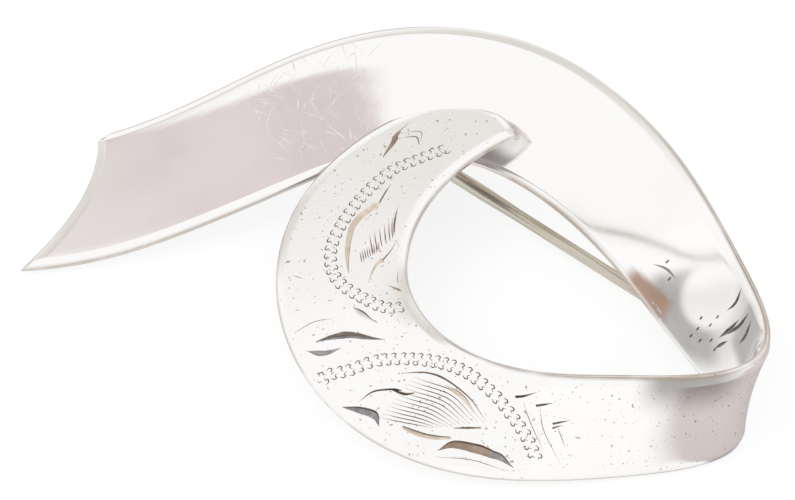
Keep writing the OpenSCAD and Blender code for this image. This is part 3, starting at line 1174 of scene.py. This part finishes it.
@dataclass
class Ribbon:
    """The strip of sheet silver, rounded at its edges and engraved."""

    strip: Strip
    grid: Grid
    wear: Wear = Wear()

    def rings(self) -> Array:
        """The stations of the rings along the strip."""
        steps = self.grid.insets()
        ends = np.array([self.strip.tail_start + 0.4, self.strip.nose_end - 0.2])
        speed = np.linalg.norm(self.strip.at(ends, slope=True)[:, :3], axis=1)
        inset = self.grid.edge_inset
        first = self.strip.tail_start + (steps * self.grid.tail_stretch + inset) / speed[0]
        last = self.strip.nose_end - (steps[::-1] + inset) / speed[1]
        between = np.linspace(first[-1], last[0], self.grid.spans_along + 1)[1:-1]
        return np.concatenate([first, between, last])

    def both_ends(self, values: Array, count: int) -> Array:
        """Lay profile values at both ends of a row, with the last one between."""
        row = np.full(count, values[-1], float)
        row[: len(values)] = values
        row[-len(values) :] = values[::-1]
        return row

    def warp(self, s: Array, q: Array) -> Array:
        """Shear stations near both ends onto the slanted tail and the rounded point."""
        strip = self.strip
        tail_to = strip.tail_start + strip.tail_slant + strip.end_blend
        nose_to = strip.nose_end - strip.nose_depth - strip.end_blend
        near_tail = tail_to - (tail_to - s) * (tail_to - strip.tail_cut(q)) / (tail_to - strip.tail_start)
        near_nose = nose_to + (s - nose_to) * (strip.nose_cut(q) - nose_to) / (strip.nose_end - nose_to)
        return np.where(s < tail_to, near_tail, np.where(s > nose_to, near_nose, s))

    def plain(self, material: bpy.types.Material) -> bpy.types.Object:
        """Build the strip before engraving, with its place and normal kept in UV layers.

        Args:
            material: the silver.

        Returns:
            The closed mesh.
        """
        s = self.rings()
        width = self.strip.at(s)[:, 4]
        steps = self.grid.insets()
        columns = 2 * len(steps) + self.grid.spans_across - 1
        low = -1 + 2 * (steps[None] + self.grid.edge_inset) / width[:, None]
        inner = np.linspace(0, 1, self.grid.spans_across + 1)[1:-1]
        middle = low[:, -1:] * (1 - 2 * inner[None])
        q = np.concatenate([low, middle, -low[:, ::-1]], 1)
        u = self.warp(s[:, None], q)
        share = self.grid.fullness()
        full = self.both_ends(share, columns)[None] * self.both_ends(share, len(s))[:, None]
        height = full * self.strip.sheet / 2
        upper = self.strip.point(u, q, height)
        lower = self.strip.point(u, q, -height)
        shape = u.shape
        rim = np.zeros(shape, bool)
        rim[[0, -1]] = True
        rim[:, [0, -1]] = True
        top_at = np.arange(u.size).reshape(shape)
        under = np.full(shape, -1)
        under[~rim] = u.size + np.arange((~rim).sum())
        bottom_at = np.where(rim, top_at, under)
        points = np.concatenate([upper.reshape(-1, 3), lower[~rim]]) * MM

        def quads(at: Array) -> Array:
            """The faces between neighbouring rings."""
            return np.stack([at[:-1, :-1], at[1:, :-1], at[1:, 1:], at[:-1, 1:]], -1).reshape(-1, 4)

        faces = np.concatenate([quads(top_at), quads(bottom_at)[:, ::-1]])
        made = new_object("plain_ribbon", points, faces, None, [material])
        made.data.shade_smooth()
        rank = np.linspace(0, 1, len(steps))
        deep = np.minimum(self.both_ends(rank, columns)[None], self.both_ends(rank, len(s))[:, None])
        face = np.concatenate([deep.ravel(), -deep[~rim]])
        place = {
            "strip": (np.concatenate([u.ravel(), u[~rim]]), np.concatenate([q.ravel(), q[~rim]])),
            "lie_a": None,
            "lie_b": None,
        }
        mesh = made.data
        normals = np.zeros(len(points) * 3, np.float32)
        mesh.vertex_normals.foreach_get("vector", normals)
        normals = normals.reshape(-1, 3)
        place["lie_a"] = (normals[:, 0], normals[:, 1])
        place["lie_b"] = (normals[:, 2], face)
        corner = np.zeros(len(mesh.loops), np.int32)
        mesh.loops.foreach_get("vertex_index", corner)
        for name, (first, second) in place.items():
            layer = mesh.uv_layers.new(name=name)
            layer.data.foreach_set("uv", np.column_stack([first, second])[corner].astype(np.float32).ravel())
        return made

    def settle(self, ribbon: bpy.types.Object) -> None:
        """Give the engraved strip its smooth normals and the masks that its silver reads."""
        mesh = ribbon.data
        mesh.shade_smooth()
        layers = {}
        for name in ("strip", "lie_a", "lie_b"):
            values = np.zeros(len(mesh.loops) * 2, np.float32)
            mesh.uv_layers[name].data.foreach_get("uv", values)
            layers[name] = values.reshape(-1, 2)
        slots = np.zeros(len(mesh.polygons), np.int32)
        mesh.polygons.foreach_get("material_index", slots)
        sides = np.zeros(len(mesh.polygons), np.int32)
        mesh.polygons.foreach_get("loop_total", sides)
        flat = np.zeros(len(mesh.polygons) * 3, np.float32)
        mesh.polygons.foreach_get("normal", flat)
        smooth = np.column_stack([layers["lie_a"], layers["lie_b"][:, 0]])
        smooth /= np.maximum(np.linalg.norm(smooth, axis=1, keepdims=True), 1e-6)
        is_cut = np.repeat(slots, sides)[:, None] > 0
        normals = np.where(is_cut, np.repeat(flat.reshape(-1, 3), sides, axis=0), smooth)
        mesh.normals_split_custom_set(normals.tolist())
        u, q, face = layers["strip"][:, 0], layers["strip"][:, 1], layers["lie_b"][:, 1]
        masks = self.wear.masks(u, q, face, 1 / (len(self.grid.profile) - 1))
        for name, values in masks.items():
            store = mesh.attributes.new(name, "FLOAT", "CORNER")
            store.data.foreach_set("value", values.astype(np.float32))
        for name in ("lie_a", "lie_b"):
            mesh.uv_layers.remove(mesh.uv_layers[name])

    def build(self, silver: bpy.types.Material, cuts: Sequence[bpy.types.Material]) -> bpy.types.Object:
        """Build, engrave and finish the strip.

        Args:
            silver: the finish of the sheet.
            cuts: the finishes of the cuts, in the order of Tone.

        Returns:
            The finished strip.
        """
        plain = self.plain(silver)
        ribbon = Engraving(self.strip, cuts).cut(plain)
        self.settle(ribbon)
        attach(ribbon, "brooch")
        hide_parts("ribbon")
        return ribbon


# ---------------------------------------------------------------- pin, hinge and catch


@dataclass
class Fittings:
    """The hinge, the pin and its safety catch, finished from the frame's own pieces."""

    nodes: dict[str, bpy.types.Object]
    silver: bpy.types.Material
    steel: bpy.types.Material
    edge: float = 0.05
    crease: float = 30.0

    def finish_node(
        self, node: str, body: str, material: bpy.types.Material
    ) -> bpy.types.Object:
        """Copy a piece, round its edges and give it its finish.

        Args:
            node: the piece's name in the frame.
            body: what it moves with.
            material: its finish.

        Returns:
            The finished piece.
        """
        mesh = self.nodes[node].data.copy()
        work = bmesh.new()
        work.from_mesh(mesh)
        bmesh.ops.remove_doubles(work, verts=work.verts, dist=1e-6)
        bmesh.ops.dissolve_limit(work, angle_limit=math.radians(1), verts=work.verts, edges=work.edges)
        bmesh.ops.recalc_face_normals(work, faces=work.faces)
        work.to_mesh(mesh)
        work.free()
        source = bpy.data.objects.new(node + "_source", mesh)
        bpy.context.scene.collection.objects.link(source)
        mesh.materials.clear()
        mesh.materials.append(material)
        bevel = source.modifiers.new("edge", "BEVEL")
        bevel.width = self.edge * MM
        bevel.segments = 3
        bevel.limit_method = "ANGLE"
        bevel.angle_limit = math.radians(self.crease)
        bevel.use_clamp_overlap = True
        piece = evaluated(source, node + "_finished")
        smooth_by_angle(piece, self.crease)
        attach(piece, body)
        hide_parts(node)
        return piece

    def build(self) -> list[bpy.types.Object]:
        """Finish every fitting."""
        pieces = []
        for node in ("hinge_disc", "hinge_ear_upper", "hinge_ear_lower", "catch_disc", "catch_barrel"):
            pieces.append(self.finish_node(node, "brooch", self.silver))
        pieces.append(self.finish_node("hinge_rivet", "brooch", self.steel))
        for node in ("pin_knuckle", "pin_wire"):
            pieces.append(self.finish_node(node, "pin", self.steel))
        for node in ("catch_rotor", "catch_tab"):
            pieces.append(self.finish_node(node, "rotor", self.steel))
        return pieces


# ---------------------------------------------------------------- studio


@dataclass
class Studio:
    """The light tent, the floor and the camera."""

    target: tuple[float, float, float] = (0.00099, -0.00003, 0.00368)
    distance: float = 0.2208
    elevation: float = 50.0
    lens: float = 150.0
    floor_size: float = 3.0
    key_power: float = 0.35

    def floor(self) -> bpy.types.Object:
        """Lay a plain pale floor that keeps the object's shadow, with a pinkish-grey patch in front of the
        strip that only reflections show: a painted reflection.
        """
        half = self.floor_size / 2
        corners = np.array([(-half, -half, 0), (half, -half, 0), (half, half, 0), (-half, half, 0)])
        material, kit = shader("pale_floor")
        path = kit.node("ShaderNodeLightPath", {}, {}, "Is Camera Ray")
        glossy = Val(kit, path.socket.node.outputs["Is Glossy Ray"])
        place = kit.node("ShaderNodeTexCoord", {}, {}, "Object")
        x = kit.node("ShaderNodeSeparateXYZ", {}, {"Vector": place}, "X")
        y = Val(kit, x.socket.node.outputs["Y"])
        # painted reflection: a pinkish-grey patch of floor in front of the strip, seen only by glossy rays
        # and left out of their glow
        near = y - x.ramp(0.019, 0.027) * 0.012
        painted_reflection_patch = x.ramp(0.0172, 0.0205) * near.ramp(-0.0165, -0.0175) * y.ramp(-0.027, -0.021)
        tint = kit.mix(painted_reflection_patch * glossy, (0.97, 0.97, 0.97), (0.66, 0.605, 0.595))
        diffuse = kit.node("ShaderNodeBsdfDiffuse", {}, {"Color": tint})
        glow = kit.node("ShaderNodeEmission", {}, {"Color": (1.0, 1.0, 1.0, 1.0), "Strength": 1.04})
        glowing = path * 0.74 + glossy * (1.0 - painted_reflection_patch) * 0.6
        both = kit.node("ShaderNodeMixShader", {}, {0: glowing, 1: diffuse, 2: glow})
        kit.node("ShaderNodeOutputMaterial", {}, {"Surface": both})
        made = new_object("floor", corners, [(0, 1, 2, 3)], None, [material])
        return made

    def tent(self) -> None:
        """Light from all round: white, with a pale grey panel overhead and dark gaps low behind."""
        world = bpy.data.worlds.new("tent")
        bpy.context.scene.world = world
        world.use_nodes = True
        kit = NodeKit(world.node_tree)
        where = kit.node("ShaderNodeTexCoord", {}, {}, "Generated")
        split = kit.node("ShaderNodeSeparateXYZ", {}, {"Vector": where}, "Y")
        y = split
        x = Val(kit, split.socket.node.outputs["X"])
        z = Val(kit, split.socket.node.outputs["Z"])
        panel = y.ramp(0.34, 0.52) * y.ramp(0.8, 0.66) * x.ramp(0.75, 0.5) * z.ramp(0.2, 0.4)
        white = (1.0, 1.0, 1.0)
        grey = (0.74, 0.715, 0.67)
        colour = kit.mix(panel, white, grey)
        low = z.size().ramp(0.16, 0.05) * y.ramp(0.45, 0.75)
        colour = kit.mix(low, colour, (0.24, 0.19, 0.15))
        camera = kit.node("ShaderNodeLightPath", {}, {}, "Is Camera Ray")
        colour = kit.mix(camera, colour, white)
        back = kit.node("ShaderNodeBackground", {}, {"Color": colour, "Strength": 1.0})
        kit.node("ShaderNodeOutputWorld", {}, {"Surface": back})

    def lamp(self, name: str, at: tuple[float, float, float], size: float, power: float) -> None:
        """Hang one soft square lamp that faces the object."""
        light = bpy.data.lights.new(name, "AREA")
        light.shape = "SQUARE"
        light.size = size
        light.energy = power
        made = bpy.data.objects.new(name, light)
        bpy.context.scene.collection.objects.link(made)
        made.location = at
        made.visible_glossy = False
        made.rotation_euler = (Vector(self.target) - Vector(at)).to_track_quat("-Z", "Y").to_euler()

    def camera(self) -> None:
        """Set up the camera above and in front."""
        lens = bpy.data.cameras.new("camera")
        lens.lens = self.lens
        lens.sensor_width = 36.0
        lens.clip_start = 0.01
        made = bpy.data.objects.new("camera", lens)
        bpy.context.scene.collection.objects.link(made)
        rise = math.radians(self.elevation)
        away = Vector((0.0, -math.cos(rise), math.sin(rise))) * self.distance
        made.location = Vector(self.target) + away
        made.rotation_euler = (-away).to_track_quat("-Z", "Y").to_euler()
        bpy.context.scene.camera = made

    def build(self) -> None:
        """Set up everything round the object."""
        self.floor()
        self.tent()
        self.lamp("key", (-0.25, -0.05, 0.45), 0.3, self.key_power)
        self.camera()
        bpy.context.scene.view_settings.view_transform = "Standard"


# ---------------------------------------------------------------- everything


def cut_finishes() -> list[bpy.types.Material]:
    """The finishes of the cuts, in the order of Tone."""
    finishes = (
        CutFinish("cut_dark", (0.16, 0.12, 0.085), (0.3, 0.25, 0.19), 0.35),
        CutFinish("cut_brown", (0.44, 0.33, 0.27), (0.3, 0.22, 0.17), 0.35),
        CutFinish("cut_tan", (0.82, 0.71, 0.6), (0.66, 0.56, 0.46), 0.3),
        CutFinish("cut_grey", (0.42, 0.4, 0.39), (0.25, 0.25, 0.27), 0.3),
        CutFinish("cut_bright", (0.93, 0.91, 0.89), (0.8, 0.76, 0.74), 0.25),
    )
    return [finish.make() for finish in finishes]


def main() -> None:
    """Build the brooch round its frame."""
    logging.basicConfig(level=logging.INFO, format="%(name)s: %(message)s")
    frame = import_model()
    Studio().build()
    silver = SilverFinish().make()
    steel = WireFinish("drawn_steel", (0.66, 0.62, 0.54), (0.38, 0.31, 0.23), 0.18).make()
    ribbon = Ribbon(Strip(), Grid()).build(silver, cut_finishes())
    LOG.info("ribbon: %d faces", len(ribbon.data.polygons))
    for piece in Fittings(frame["nodes"], silver, steel).build():
        LOG.info("%s: %d faces", piece.name, len(piece.data.polygons))


if __name__ == "__main__":
    main()
